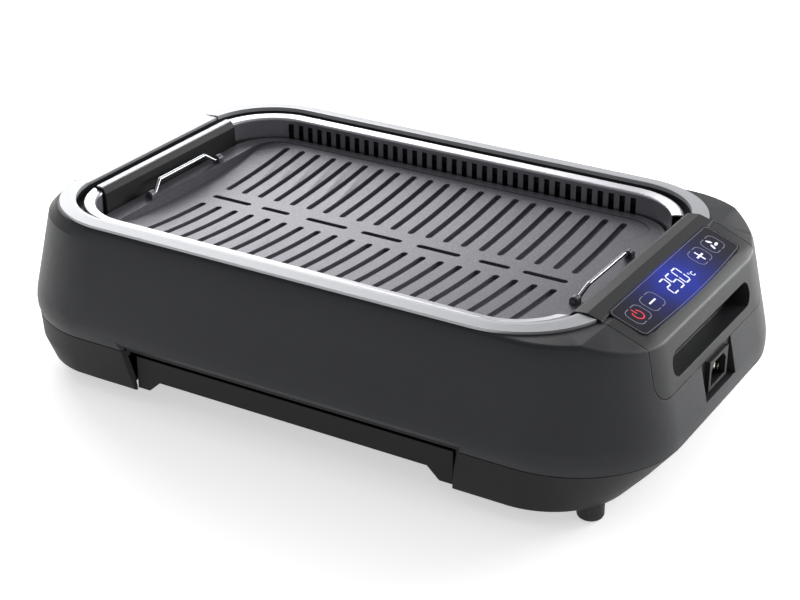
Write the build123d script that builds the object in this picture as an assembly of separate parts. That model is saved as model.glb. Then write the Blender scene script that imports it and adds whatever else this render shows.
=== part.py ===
from build123d import *
import math
import os

# Smokeless indoor grill, in millimetres. The origin is on the table under the middle of the
# body, +Z is up, +X points to the control end and -Y to the front, where the water tray pulls out.

# Body shell outlines: lowest and highest x, half depth and corner radius at each height
SEAM_Z = 44.0
WIDE_Z = 54.0
BAND_Z = 120.0
LAND_Z = 129.0
BASE_Z = 12.0
SEAM_OUTLINE = (-254.0, 251.0, 145.0, 79.0)
WIDE_OUTLINE = (-257.0, 255.0, 148.5, 80.0)
BAND_OUTLINE = (-229.0, 243.0, 140.5, 71.0)
LAND_OUTLINE = (-224.5, 241.0, 138.2, 68.0)
BASE_OUTLINE = (-249.0, 236.0, 138.0, 68.0)
WALL = 2.6
TOP_WALL = 3.0
SEAM_GAP = 0.4
BASE_ROUND = 2.0
TONGUE_ROOT = 4.0
TONGUE_RISE = 5.0
TONGUE_GAP = 0.3
TONGUE_THICK = 1.8
SHOULDER_X = 202.0
SHOULDER_Z = 131.0
SHOULDER_ANGLE = 19.7
SHOULDER_ROUND = 4.0

# Grill well: everything round the cooking area is centred on WELL_X
WELL_X = -10.0
TRIM_OUTER = (213.5, 137.5, 67.0)
TRIM_INNER = (200.5, 127.0, 54.0)
TRIM_RISE = 2.0
TRIM_CROWN = 1.0
CHANNEL_FLOOR_Z = 122.0
CHANNEL_WALL = 2.5
CHANNEL_LIP = 2.0
MOUTH_INSET = 10.0

# Stainless splash guards with their row of smoke slots
GUARD = (187.0, 114.0, 43.0)
GUARD_SHEET = 0.8
GUARD_ROLL = 9.0
GUARD_FLANGE = 7.0
GUARD_FLANGE_Z = 104.0
SLOT_COUNT = 35
SLOT_PITCH = 8.7
SLOT_WIDTH = 4.35
SLOT_LOW_Z = 107.0
SLOT_HIGH_Z = 123.6
SLOT_MIDDLE_X = -14.8

# Left end block and its bright strips
BLOCK_HALF_Y = 79.7
BLOCK_GAP = 0.6
BLOCK_FIT = 0.4
BLOCK_CHANNEL = 8.5
BLOCK_CHANNEL_Z = 125.0
BLOCK_LOW_Z = 105.5
STRIP_THICK = 1.0

# Cast grill plate
PLATE = (182.0, 112.0, 36.0)
PLATE_TOP_Z = 112.0
PLATE_RIM = 7.0
FIELD = (168.0, 104.0, 20.0)
FIELD_WALL = 3.0
DISH_DROP = 8.0
DISH_EDGE_DROP = 0.6
PLATE_THICK = 6.5
GROOVE_COUNT = 21
GROOVE_PITCH = 14.5
GROOVE_WIDTH = 5.0
GROOVE_DEPTH = 3.4
GROOVE_NEAR_Y = 14.5
GROOVE_FAR_Y = 97.0
DRAIN_SLOTS = ((-64.0, -29.2), (-103.3, -79.1), (-16.8, 16.8), (29.2, 64.0), (79.1, 103.3))
BLIND_SLOTS = ((-147.4, -113.4), (113.4, 147.4))

# Wire handles on the plate
WIRE = 3.0
HANDLE_X = 173.0
HANDLE_LUG_Y = 42.0
HANDLE_BAR_Y = 28.0
HANDLE_RISE = 6.6
HANDLE_LEAN = 2.6
HANDLE_PIVOT_RISE = 2.6
LUG_LENGTH = 5.0
LUG_WIDTH = 6.4
PIVOT_CLEARANCE = 0.08

# Drip funnel under the plate
FUNNEL = (186.0, 112.0, 42.0)
FUNNEL_SHEET = 1.0
FUNNEL_FLANGE = 7.0
FUNNEL_SLOPE_Z = 80.0
FUNNEL_NECK_Z = 62.0
FUNNEL_END_Z = 48.0
FUNNEL_NECK = (144.0, 12.0, 10.0)

# Screw posts
POST_X = 158.0
POST_Y = 123.0
POST_RADIUS = 5.5
SCREW_RADIUS = 2.0
SCREW_FIT = 0.05
SCREW_LENGTH = 30.0
SCREW_HEAD_RADIUS = 4.0
SCREW_HEAD = 2.6

# Heating element
ELEMENT_RADIUS = 3.5
ELEMENT_Z = 89.0
ELEMENT_HALF_X = 150.0
ELEMENT_HALF_Y = 78.0
ELEMENT_BEND = 8.0
TERMINAL_Y = 14.0
TERMINAL_X = 160.0
TERMINAL_DEPTH = 14.0
PIN_RADIUS = 2.5
PIN_END_X = 196.0
CLIP_WIDTH = 8.0
CLIP_SPREAD = 95.0
ELEMENT_NECK = 26.0
DOCK_HALF_Y = 24.0
DOCK_HALF_Z = 7.0
PIN_HOLE_FIT = 1.0

# Base floor, water tray and the bay that it slides in
FLOOR_Z = 22.0
FLOOR_THICK = 2.5
TRAY_HALF_X = 123.0
TRAY_LOW_Z = 24.0
TRAY_HIGH_Z = 37.5
TRAY_BACK_Y = 104.0
TRAY_WALL = 2.0
TRAY_CORNER = 14.0
FRONT_Y = -138.0
FRONT_THICK = 3.0
FRONT_HALF_X = 127.0
FRONT_HIGH_Z = 38.5
TAB_LOW_Z = 14.0
TAB_WIDTH = 10.0
TAB_GUSSET = 11.0
BAY_GAP = 1.0
BAY_FLARE_X = 12.0
BAY_FLARE_Z = 14.5
BAY_FLARE_Y = 12.0
RAIL_GAP = 0.3
RAIL_WALL = 2.4
RAIL_HEIGHT = 8.0
RAIL_LENGTH = 228.0

# Control module and the bay it slides into
MODULE_HALF_Y = 90.0
MODULE_GAP = 0.6
MODULE_NOSE_X = 181.2
MODULE_LOW_Z = 81.6
MODULE_CORNER = 14.0
MODULE_WALL = 2.4
BAY_WALL = 2.4
BAY_END_X = MODULE_NOSE_X - 0.7 - BAY_WALL
NOSE_CREST_X = 193.5
NOSE_CREST_Z = 133.2
NOSE_LOW_Z = 124.5
PANEL_LENGTH = 147.0
PANEL_WIDTH = 30.0
PANEL_THICK = 1.6
PANEL_CORNER = 5.0
PANEL_X = 216.0
BOARD = (120.0, 26.0)
BOARD_THICK = 1.6
BOARD_DEPTH = 8.0
DISPLAY = (50.0, 20.0)
DISPLAY_THICK = 3.6
DISPLAY_DEPTH = 6.4
GRIP_HALF_Y = 65.0
GRIP_LOW_Z = 88.0
GRIP_HIGH_Z = 105.5
CASE_GAP = 0.4
CASE_WALL = 2.0
CASE_HIGH_Z = 108.0
CASE_BACK_X = 226.0
CASE_RUNNER_Y = 60.0
WALL_GRIP_X = 230.0
COVER_ROOM_X = 236.0
COVER_ROOM_Z = 112.0
BAY_SILL_Z = 119.5
MOUTH_DEPTH = 30.0
INLET_BODY = 21.0
INLET_BACK_X = 212.0
PLUG_BACK_X = 202.0
PLUG_HALF_Y = 24.5
PLUG_HIGH_Z = 97.5

# Power inlet in its pocket below the module
POCKET_HALF_Y = 25.0
POCKET_LOW_Z = 55.0
POCKET_DEPTH = 7.0
INLET_Z = 68.6
INLET_SHROUD = (31.0, 22.0)
INLET_MOUTH = (24.7, 16.9)
INLET_PROUD = 3.5
INLET_DEPTH = 16.0
INLET_BEVEL = 5.0

# Smoke fan
FAN_X = -196.0
FAN_Y = 60.0
FAN_RADIUS = 33.0
FAN_BLADES = 22
FAN_LOW_Z = 36.0
FAN_HIGH_Z = 50.0
SCROLL_START = 37.0
SCROLL_STEP = 6.0
SCROLL_WALL = 1.8
SCROLL_OUTLET = 75.0
SCROLL_HIGH_Z = 54.0
VENT_COUNT = 5
VENT_PITCH = 4.4
VENT_WIDTH = 2.2
VENT_LOW = 2.0
VENT_HIGH = 16.0
SHAFT_RADIUS = 2.5
SHAFT_FIT = 0.05
MOTOR_RADIUS = 19.0
MOTOR_HIGH_Z = 34.5
FAN_INLET = 24.0
FAN_EYE = 24.0
FAN_HUB = 7.0

# Feet
FOOT_RADIUS = 9.0
FOOT_SPOTS = ((210.0, 106.0), (-205.0, 100.0))

# Half of a space that holds the whole grill, for cuts that go right through
REACH = 300.0


def outline(size, z, inset=0.0):
    """Rounded outline of the body at height z, drawn in by inset."""
    low, high, half, radius = size
    face = RectangleRounded(high - low - 2 * inset, 2 * (half - inset), radius - inset)
    return Pos((low + high) / 2, 0, z) * face


def slab(size, low_z, high_z, grow=0.0):
    """Rounded block round the grill well from its half sizes and corner radius."""
    half_x, half_y, radius = size
    face = RectangleRounded(2 * (half_x + grow), 2 * (half_y + grow), radius + grow)
    return Pos(WELL_X, 0, low_z) * extrude(face, high_z - low_z)


def block(x_low, x_high, y_low, y_high, z_low, z_high):
    """Plain box between two corners."""
    middle = Pos((x_low + x_high) / 2, (y_low + y_high) / 2, (z_low + z_high) / 2)
    return middle * Box(x_high - x_low, y_high - y_low, z_high - z_low)


def side_profile(points, half_y):
    """Closed profile in the XZ plane pushed out to both sides of the middle plane."""
    return extrude(Plane.XZ * make_face(Polyline(*points, close=True)), half_y, both=True)


def rod(x, y, z_low, z_high, radius):
    """Upright cylinder."""
    return Pos(x, y, z_low) * extrude(Circle(radius), z_high - z_low)


def mirrored_y(shape):
    """The shape and its twin on the other side of the middle plane."""
    return [shape, mirror(shape, Plane.XZ)]


def shoulder_line(x):
    """Height of the sloping top at the control end."""
    return SHOULDER_Z - (x - SHOULDER_X) * math.tan(math.radians(SHOULDER_ANGLE))


def slope_cutter(drop=0.0):
    """Everything above the sloping top at the control end, lowered by drop."""
    start = SHOULDER_X - 30
    end = SHOULDER_X + 90
    points = ((start, shoulder_line(start) - drop), (end, shoulder_line(end) - drop), (end, REACH), (start, REACH))
    return side_profile(points, REACH)


def body_envelope(inset=0.0, low_z=SEAM_Z, drop=0.0):
    """Outer form of the upper housing, or its hollow when it is drawn in."""
    levels = [outline(SEAM_OUTLINE, low_z, inset), outline(WIDE_OUTLINE, WIDE_Z, inset)]
    levels.append(outline(BAND_OUTLINE, BAND_Z, inset))
    levels.append(outline(LAND_OUTLINE, LAND_Z, inset))
    solid = loft(levels, ruled=True)
    return solid - slope_cutter(drop)


def module_bay(grow, x_low, x_high=280.0):
    """Prism that the control module slides along, with rounded lower corners."""
    half = MODULE_HALF_Y + grow
    low = MODULE_LOW_Z - grow
    high = 150.0
    sketch = Plane.YZ * Pos(0, (low + high) / 2) * Rectangle(2 * half, high - low)
    prism = Pos(x_low, 0, 0) * extrude(sketch, x_high - x_low)
    low_edges = prism.edges().filter_by(Axis.X).group_by(Axis.Z)[0]
    return fillet(low_edges, MODULE_CORNER + grow)


def tray_bay():
    """Scooped recess round the tray front, cut from the housing and the base."""
    inner_half = FRONT_HALF_X + BAY_GAP
    inner_top = FRONT_HIGH_Z + BAY_GAP
    low = BASE_Z - 6
    back = FRONT_Y
    front = FRONT_Y - BAY_FLARE_Y
    mouth = Plane.XZ * Pos(0, (low + inner_top) / 2) * Rectangle(2 * inner_half, inner_top - low)
    wide_top = inner_top + BAY_FLARE_Z
    wide_half = inner_half + BAY_FLARE_X
    flare = Plane.XZ * Pos(0, (low + wide_top) / 2) * Rectangle(2 * wide_half, wide_top - low)
    return loft([Pos(0, back, 0) * mouth, Pos(0, front, 0) * flare], ruled=True)


def tray_passage():
    """Opening in the base's front wall for the tray, open below for its end tabs."""
    inner_half = FRONT_HALF_X + BAY_GAP
    return block(-inner_half, inner_half, FRONT_Y - 30, FRONT_Y + 5, BASE_Z - 6, FRONT_HIGH_Z + BAY_GAP)


def pin_hole(y):
    """Room for an element pin where it passes the funnel and the wall of the module's bay."""
    middle = (TERMINAL_X + PIN_END_X) / 2
    return Pos(middle, y, ELEMENT_Z) * Rot(0, 90, 0) * Cylinder(PIN_RADIUS + PIN_HOLE_FIT, PIN_END_X - TERMINAL_X)


def post_spots():
    """Places of the four screw posts."""
    return [(WELL_X + sx * POST_X, sy * POST_Y) for sx in (-1, 1) for sy in (-1, 1)]


def upper_housing():
    outer = body_envelope()
    rim_edges = [e for e in outer.edges() if is_shoulder_edge(e)]
    outer = fillet(rim_edges, SHOULDER_ROUND)
    hollow = body_envelope(WALL, SEAM_Z - 1, TOP_WALL)
    hollow -= slab((400, 400, 10), LAND_Z - TOP_WALL, LAND_Z + 20)
    shell = outer - hollow
    channel = slab(TRIM_INNER, CHANNEL_FLOOR_Z - CHANNEL_WALL, LAND_Z - 1, CHANNEL_WALL)
    channel += slab(TRIM_INNER, CHANNEL_FLOOR_Z - 4.5, CHANNEL_FLOOR_Z, CHANNEL_LIP - MOUTH_INSET)
    bosses = [rod(x, y, GUARD_FLANGE_Z - 0.4, CHANNEL_FLOOR_Z - 1, POST_RADIUS) for x, y in post_spots()]
    bay = module_bay(MODULE_GAP + BAY_WALL, BAY_END_X) & outer
    pocket = block(INLET_BACK_X - 1, REACH, -POCKET_HALF_Y - BAY_WALL, POCKET_HALF_Y + BAY_WALL,
                   POCKET_LOW_Z - BAY_WALL, MODULE_LOW_Z)
    housing = shell + channel + bay + (pocket & outer) + bosses
    housing -= slab(TRIM_INNER, CHANNEL_FLOOR_Z, REACH)
    housing -= slab(TRIM_INNER, CHANNEL_FLOOR_Z - MOUTH_DEPTH, REACH, -MOUTH_INSET) - block(
        BAY_END_X, REACH, -REACH, REACH, 0, BAY_SILL_Z)
    housing -= module_bay(MODULE_GAP, MODULE_NOSE_X - 0.7)
    housing -= block(INLET_BACK_X - 3, REACH, -POCKET_HALF_Y, POCKET_HALF_Y, POCKET_LOW_Z, MODULE_LOW_Z + 2)
    for y in (-TERMINAL_Y, TERMINAL_Y):
        housing -= pin_hole(y)
    return housing - tray_bay()


def is_shoulder_edge(edge):
    """Rim edges of the closed top: the level ones and those on the sloping shoulder."""
    middle = edge.center()
    on_land = abs(middle.Z - LAND_Z) < 0.05
    on_slope = abs(middle.Z - shoulder_line(middle.X)) < 0.6 and middle.X > SHOULDER_X + 6
    across = edge.geom_type == GeomType.LINE and abs(edge.tangent_at(0.5).Y) > 0.99 and middle.X < SHOULDER_X + 20
    return (on_land or on_slope) and not across


def lower_base():
    outer = loft([outline(BASE_OUTLINE, BASE_Z), outline(SEAM_OUTLINE, SEAM_Z - SEAM_GAP)], ruled=True)
    low_rim = [e for e in outer.edges() if abs(e.center().Z - BASE_Z) < 0.05]
    outer = fillet(low_rim, BASE_ROUND)
    hollow = loft([outline(BASE_OUTLINE, BASE_Z, WALL), outline(SEAM_OUTLINE, SEAM_Z + 1, WALL)], ruled=True)
    floor_band = block(-REACH, REACH, -REACH, REACH, FLOOR_Z - FLOOR_THICK, FLOOR_Z)
    base = outer - (hollow - floor_band)
    tongue_z = SEAM_Z - TONGUE_ROOT
    tongue = outline(SEAM_OUTLINE, tongue_z, WALL + TONGUE_GAP)
    tongue -= outline(SEAM_OUTLINE, tongue_z, WALL + TONGUE_GAP + TONGUE_THICK)
    base += extrude(tongue, TONGUE_ROOT + TONGUE_RISE)
    base += [rod(x, y, FLOOR_Z - 1, GUARD_FLANGE_Z - 1.4, POST_RADIUS) for x, y in post_spots()]
    for x, y in post_spots():
        base -= rod(x, y, BASE_Z, FLOOR_Z - FLOOR_THICK + SCREW_LENGTH + 1, SCREW_RADIUS + SCREW_FIT)
    for step in range(VENT_COUNT):
        vent_x = FAN_X + SCROLL_START + 4 + step * VENT_PITCH
        base -= block(vent_x, vent_x + VENT_WIDTH, FAN_Y + FAN_RADIUS, REACH, FLOOR_Z + VENT_LOW, FLOOR_Z + VENT_HIGH)
    return base - tray_bay() - tray_passage()


def well_halves(ring, left_y, right_y):
    """Front and rear pieces of a ring round the well, parted at the end block and the module."""
    gap = block(-REACH, WELL_X, -left_y, left_y, 0, REACH) + block(WELL_X, REACH, -right_y, right_y, 0, REACH)
    ring = ring - gap
    front = ring & block(-REACH, REACH, -REACH, 0, 0, REACH)
    rear = ring & block(-REACH, REACH, 0, REACH, 0, REACH)
    return front, rear


def trim_rings():
    top = LAND_Z + TRIM_RISE
    ring = slab(TRIM_OUTER, LAND_Z, top)
    half_x, half_y, radius = TRIM_OUTER
    low = Pos(WELL_X, 0, top) * RectangleRounded(2 * half_x - 1, 2 * half_y - 1, radius - 0.5)
    half_x, half_y, radius = TRIM_INNER
    high = Pos(WELL_X, 0, top + TRIM_CROWN) * RectangleRounded(2 * half_x + 5, 2 * half_y + 5, radius + 2.5)
    ring += loft([low, high], ruled=True)
    ring -= slab(TRIM_INNER, 0, REACH)
    return well_halves(ring, BLOCK_HALF_Y + BLOCK_GAP, MODULE_HALF_Y + MODULE_GAP)


def guard_profile():
    """Section of a guard: hem, roll, wall and the flange that carries the plate."""
    hem_bottom = CHANNEL_FLOOR_Z + 0.2
    top = LAND_Z
    path = FilletPolyline(
        (-GUARD_FLANGE, GUARD_FLANGE_Z),
        (GUARD_SHEET / 2, GUARD_FLANGE_Z),
        (GUARD_SHEET / 2, top - 1.6),
        (GUARD_ROLL - 0.4, top),
        (GUARD_ROLL - 0.4, hem_bottom),
        radius=1.5,
    )
    return trace(path, GUARD_SHEET)


def splash_guards():
    """Bent sheet pieces: the front one is swept round its two corners, the rear one mirrors it."""
    half_x, half_y, radius = GUARD
    left = WELL_X - half_x
    right = WELL_X + half_x
    start_y = radius + 4 - half_y
    path = FilletPolyline((left, start_y, 0), (left, -half_y, 0), (right, -half_y, 0), (right, start_y, 0), radius=radius)
    section = Plane(origin=(left, start_y, 0), x_dir=(-1, 0, 0), z_dir=(0, 1, 0)) * guard_profile()
    guard = sweep(section.faces()[0], path)
    slots = []
    for step in range(SLOT_COUNT):
        x = SLOT_MIDDLE_X + (step - (SLOT_COUNT - 1) / 2) * SLOT_PITCH
        slots.append(block(x - SLOT_WIDTH / 2, x + SLOT_WIDTH / 2, -half_y - 4, 2 - half_y, SLOT_LOW_Z, SLOT_HIGH_Z))
    guard -= slots
    guard -= block(-REACH, WELL_X, -BLOCK_HALF_Y - BLOCK_GAP, REACH, 0, REACH)
    guard -= block(WELL_X, REACH, -MODULE_HALF_Y - MODULE_GAP, REACH, 0, REACH)
    return guard, mirror(guard, Plane.XZ)


def left_end_block():
    """Black cover between the guards: it lies in the lid channel and forms the well's left wall."""
    channel = WELL_X - TRIM_INNER[0]
    mouth = channel + MOUTH_INSET
    ridge = channel + BLOCK_CHANNEL
    top = LAND_Z + TRIM_RISE - STRIP_THICK
    points = (
        (channel + BLOCK_FIT, CHANNEL_FLOOR_Z), (channel + BLOCK_FIT, BLOCK_CHANNEL_Z), (ridge, BLOCK_CHANNEL_Z),
        (ridge, top), (mouth + 4, top), (mouth + 6.5, top - 4), (mouth + 7.4, BLOCK_LOW_Z),
        (mouth + BLOCK_FIT, BLOCK_LOW_Z), (mouth + BLOCK_FIT, CHANNEL_FLOOR_Z),
    )
    return side_profile(points, BLOCK_HALF_Y)


def end_strips():
    channel = WELL_X - TRIM_INNER[0]
    outer = WELL_X - TRIM_OUTER[0]
    top = LAND_Z + TRIM_RISE
    ridge = channel + BLOCK_CHANNEL
    outer_strip = block(outer, channel - 0.3, -BLOCK_HALF_Y, BLOCK_HALF_Y, LAND_Z, top)
    inner_strip = block(ridge + 0.3, ridge + 5.2, -BLOCK_HALF_Y, BLOCK_HALF_Y, top - STRIP_THICK, top)
    return outer_strip, inner_strip


def dish(extra):
    """Room above the dished cooking surface, deepened by extra, as one long cylinder."""
    rise = DISH_DROP - DISH_EDGE_DROP
    radius = (FIELD[1] ** 2 + rise ** 2) / (2 * rise)
    centre_z = PLATE_TOP_Z - DISH_DROP + radius
    return Pos(WELL_X, 0, centre_z) * Rot(0, 90, 0) * Cylinder(radius + extra, 500)


def long_slot(x_mid, y_mid, length, width, along_y):
    """Upright round-ended prism for a groove."""
    turn = 90 if along_y else 0
    return Pos(x_mid, y_mid, PLATE_TOP_Z - 30) * Rot(0, 0, turn) * extrude(SlotOverall(length, width), 60)


def grill_plate():
    body = slab(PLATE, PLATE_TOP_Z - PLATE_RIM, PLATE_TOP_Z)
    field = slab(FIELD, PLATE_TOP_Z - 30, PLATE_TOP_Z + 30)
    pan = slab(FIELD, PLATE_TOP_Z - 30, PLATE_TOP_Z - 1, FIELD_WALL) & dish(PLATE_THICK)
    body = body + pan - (field & dish(0))
    grooves = []
    drains = []
    length = GROOVE_FAR_Y - GROOVE_NEAR_Y
    for step in range(GROOVE_COUNT):
        x = WELL_X + (step - (GROOVE_COUNT - 1) / 2) * GROOVE_PITCH
        groove = long_slot(x, (GROOVE_FAR_Y + GROOVE_NEAR_Y) / 2, length, GROOVE_WIDTH, True)
        grooves += mirrored_y(groove)
    for low, high in BLIND_SLOTS:
        grooves.append(long_slot(WELL_X + (low + high) / 2, 0, high - low, GROOVE_WIDTH, False))
    for low, high in DRAIN_SLOTS:
        drains.append(long_slot(WELL_X + (low + high) / 2, 0, high - low, GROOVE_WIDTH, False))
    bed = dish(GROOVE_DEPTH)
    body -= [groove & bed for groove in grooves]
    body -= drains
    pivot_z = PLATE_TOP_Z + HANDLE_PIVOT_RISE
    for side in (-1, 1):
        for end in (-1, 1):
            x = WELL_X + side * HANDLE_X
            y = end * HANDLE_LUG_Y
            lug = block(x - LUG_WIDTH / 2, x + LUG_WIDTH / 2, y - LUG_LENGTH / 2, y + LUG_LENGTH / 2,
                        PLATE_TOP_Z - 0.5, pivot_z)
            lug += Pos(x, y, pivot_z) * Rot(90, 0, 0) * Cylinder(LUG_WIDTH / 2, LUG_LENGTH)
            body += lug
            body -= Pos(x, y, pivot_z) * Rot(90, 0, 0) * Cylinder(WIRE / 2 + PIVOT_CLEARANCE, 3 * LUG_LENGTH)
    return body


def handle(side):
    """Wire bail: pins in the lugs, two slanting legs and the bar, leaning outward."""
    x = WELL_X + side * HANDLE_X
    z = PLATE_TOP_Z + HANDLE_PIVOT_RISE
    pin = HANDLE_LUG_Y + LUG_LENGTH / 2 + 0.6
    leg = HANDLE_LUG_Y - LUG_LENGTH / 2 - 2.5
    top = (x + side * HANDLE_LEAN, z + HANDLE_RISE)
    path = FilletPolyline(
        (x, -pin, z), (x, -leg, z), (top[0], -HANDLE_BAR_Y, top[1]),
        (top[0], HANDLE_BAR_Y, top[1]), (x, leg, z), (x, pin, z), radius=2.2,
    )
    section = Plane(origin=(x, -pin, z), z_dir=(0, 1, 0)) * Circle(WIRE / 2)
    return sweep(section, path)


def funnel_form(inset):
    """Funnel's outside, or its inside when it is drawn in by the sheet."""
    def level(size, z):
        half_x, half_y, radius = size
        face = RectangleRounded(2 * (half_x - inset), 2 * (half_y - inset), radius - inset)
        return Pos(WELL_X, 0, z) * face

    sheet = inset
    cup = loft([level(FUNNEL_NECK, FUNNEL_NECK_Z + sheet), level(FUNNEL, FUNNEL_SLOPE_Z + sheet)], ruled=True)
    cup += slab(FUNNEL, FUNNEL_SLOPE_Z + sheet, GUARD_FLANGE_Z - GUARD_SHEET / 2 + sheet, -inset)
    cup += slab(FUNNEL_NECK, FUNNEL_END_Z - sheet, FUNNEL_NECK_Z + sheet, -inset)
    return cup


def drip_funnel():
    rim_z = GUARD_FLANGE_Z - GUARD_SHEET / 2
    flange = slab(FUNNEL, rim_z - FUNNEL_SHEET, rim_z, FUNNEL_FLANGE)
    flange -= block(BAY_END_X - 0.4, REACH, -REACH, REACH, 0, REACH)
    funnel = funnel_form(0) + flange
    funnel += [rod(x, y, rim_z - FUNNEL_SHEET, rim_z, POST_RADIUS + 1) for x, y in post_spots()]
    funnel -= funnel_form(FUNNEL_SHEET)
    for y in (-TERMINAL_Y, TERMINAL_Y):
        funnel -= pin_hole(y)
    return funnel


def heating_element():
    left = WELL_X - ELEMENT_HALF_X
    right = WELL_X + ELEMENT_HALF_X
    path = FilletPolyline(
        (TERMINAL_X, -TERMINAL_Y, ELEMENT_Z), (right, -TERMINAL_Y, ELEMENT_Z),
        (right - ELEMENT_NECK, -ELEMENT_HALF_Y, ELEMENT_Z), (left, -ELEMENT_HALF_Y, ELEMENT_Z),
        (left, ELEMENT_HALF_Y, ELEMENT_Z), (right - ELEMENT_NECK, ELEMENT_HALF_Y, ELEMENT_Z),
        (right, TERMINAL_Y, ELEMENT_Z), (TERMINAL_X, TERMINAL_Y, ELEMENT_Z), radius=ELEMENT_BEND,
    )
    section = Plane(origin=(TERMINAL_X, -TERMINAL_Y, ELEMENT_Z), z_dir=(-1, 0, 0)) * Circle(ELEMENT_RADIUS)
    return sweep(section, path)


def element_clips():
    room = funnel_form(FUNNEL_SHEET)
    clips = []
    for x in (WELL_X - CLIP_SPREAD, WELL_X + CLIP_SPREAD):
        strip = block(x - CLIP_WIDTH / 2, x + CLIP_WIDTH / 2, ELEMENT_HALF_Y - 5.5, ELEMENT_HALF_Y + 5.5,
                      FUNNEL_NECK_Z, ELEMENT_Z)
        strip -= Pos(x, ELEMENT_HALF_Y, ELEMENT_Z) * Rot(0, 90, 0) * Cylinder(ELEMENT_RADIUS, 30)
        strip -= block(x - 10, x + 10, ELEMENT_HALF_Y - 4, ELEMENT_HALF_Y + 4, FUNNEL_NECK_Z, ELEMENT_Z - 5.2)
        clips += mirrored_y(strip & room)
    return Compound(clips)


def element_terminals():
    end = TERMINAL_X + TERMINAL_DEPTH
    dock = block(TERMINAL_X, end, -DOCK_HALF_Y, DOCK_HALF_Y, ELEMENT_Z - DOCK_HALF_Z, ELEMENT_Z + DOCK_HALF_Z)
    for y in (-TERMINAL_Y, TERMINAL_Y):
        dock += Pos((end + PIN_END_X) / 2, y, ELEMENT_Z) * Rot(0, 90, 0) * Cylinder(PIN_RADIUS, PIN_END_X - end)
    return dock


def plate_sensor():
    under = PLATE_TOP_Z - DISH_DROP - PLATE_THICK
    x = TERMINAL_X - 12
    return rod(x, 0, ELEMENT_Z, under - 0.3, 4) + block(x, TERMINAL_X, -3, 3, ELEMENT_Z, ELEMENT_Z + 2)


def water_tray():
    front = FRONT_Y + FRONT_THICK
    middle = (front + TRAY_BACK_Y) / 2
    depth = TRAY_BACK_Y - front
    outer = Pos(0, middle, TRAY_LOW_Z) * extrude(
        RectangleRounded(2 * TRAY_HALF_X, depth, TRAY_CORNER), TRAY_HIGH_Z - TRAY_LOW_Z)
    inner = Pos(0, middle, TRAY_LOW_Z + TRAY_WALL) * extrude(
        RectangleRounded(2 * (TRAY_HALF_X - TRAY_WALL), depth - 2 * TRAY_WALL, TRAY_CORNER - TRAY_WALL), 40)
    return outer - inner


def tray_front():
    half = FRONT_HALF_X
    tab = half - TAB_WIDTH
    gusset = tab - TAB_GUSSET
    points = (
        (-half, TAB_LOW_Z), (-tab, TAB_LOW_Z), (-gusset, TRAY_LOW_Z), (gusset, TRAY_LOW_Z), (tab, TAB_LOW_Z),
        (half, TAB_LOW_Z), (half, FRONT_HIGH_Z), (-half, FRONT_HIGH_Z),
    )
    face = Plane.XZ * make_face(Polyline(*points, close=True))
    return Pos(0, FRONT_Y + FRONT_THICK, 0) * extrude(face, FRONT_THICK)


def tray_rails():
    front = FRONT_Y + FRONT_THICK + 4
    inner = TRAY_HALF_X + RAIL_GAP
    wall = block(inner, inner + RAIL_WALL, front, front + RAIL_LENGTH, FLOOR_Z, TRAY_LOW_Z + RAIL_HEIGHT)
    runner = block(inner - 14, inner + RAIL_WALL, front, front + RAIL_LENGTH, FLOOR_Z, TRAY_LOW_Z - RAIL_GAP)
    rail = wall + runner
    return Compound([rail, mirror(rail, Plane.YZ)])


def module_cover():
    outer = body_envelope()
    rim_edges = [e for e in outer.edges() if is_shoulder_edge(e)]
    outer = fillet(rim_edges, SHOULDER_ROUND)
    skin = outer & module_bay(0, MODULE_NOSE_X)
    skin -= block(0, NOSE_CREST_X, -REACH, REACH, 0, REACH)
    room = body_envelope(MODULE_WALL, SEAM_Z - 1, MODULE_WALL) & module_bay(-MODULE_WALL, MODULE_NOSE_X + MODULE_WALL)
    room += block(MODULE_NOSE_X, COVER_ROOM_X, -MODULE_HALF_Y + MODULE_WALL, MODULE_HALF_Y - MODULE_WALL,
                  MODULE_LOW_Z - 10, COVER_ROOM_Z)
    nose = module_nose(0) - module_nose(MODULE_WALL)
    cover = skin - room
    cover -= block(0, COVER_ROOM_X + 2, -REACH, REACH, 0, CASE_HIGH_Z)
    cover += nose
    grip = grip_slot(0)
    pocket = grip_slot(MODULE_WALL) & outer
    cover = cover + (pocket - block(0, WALL_GRIP_X - MODULE_WALL, -REACH, REACH, 0, REACH)) - grip
    return cover - panel_seat(0.15)


def grip_slot(grow):
    """Round-ended finger slot in the module's outer face."""
    height = GRIP_HIGH_Z - GRIP_LOW_Z + 2 * grow
    face = Plane.YZ * Pos(0, (GRIP_LOW_Z + GRIP_HIGH_Z) / 2) * SlotOverall(2 * (GRIP_HALF_Y + grow), height)
    return Pos(WALL_GRIP_X - grow, 0, 0) * extrude(face, 60)


def module_nose(inset):
    """Rounded front lip of the module, or its hollow."""
    low = (MODULE_NOSE_X + inset, NOSE_LOW_Z)
    rise = (MODULE_NOSE_X + inset, NOSE_LOW_Z + 1.5)
    crest = (NOSE_CREST_X, NOSE_CREST_Z - inset)
    slope_x = NOSE_CREST_X + 10
    join = (slope_x, shoulder_line(slope_x) - inset)
    back = (slope_x, NOSE_LOW_Z)
    lines = [Line(low, rise)]
    lines.append(JernArc(rise, (0, 1), radius=7 - inset, arc_size=-68))
    lines.append(Line(lines[-1] @ 1, crest))
    lines.append(Line(crest, join))
    lines.append(Line(join, back))
    lines.append(Line(back, low))
    return extrude(Plane.XZ * make_face(lines), MODULE_HALF_Y - inset, both=True)


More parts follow.
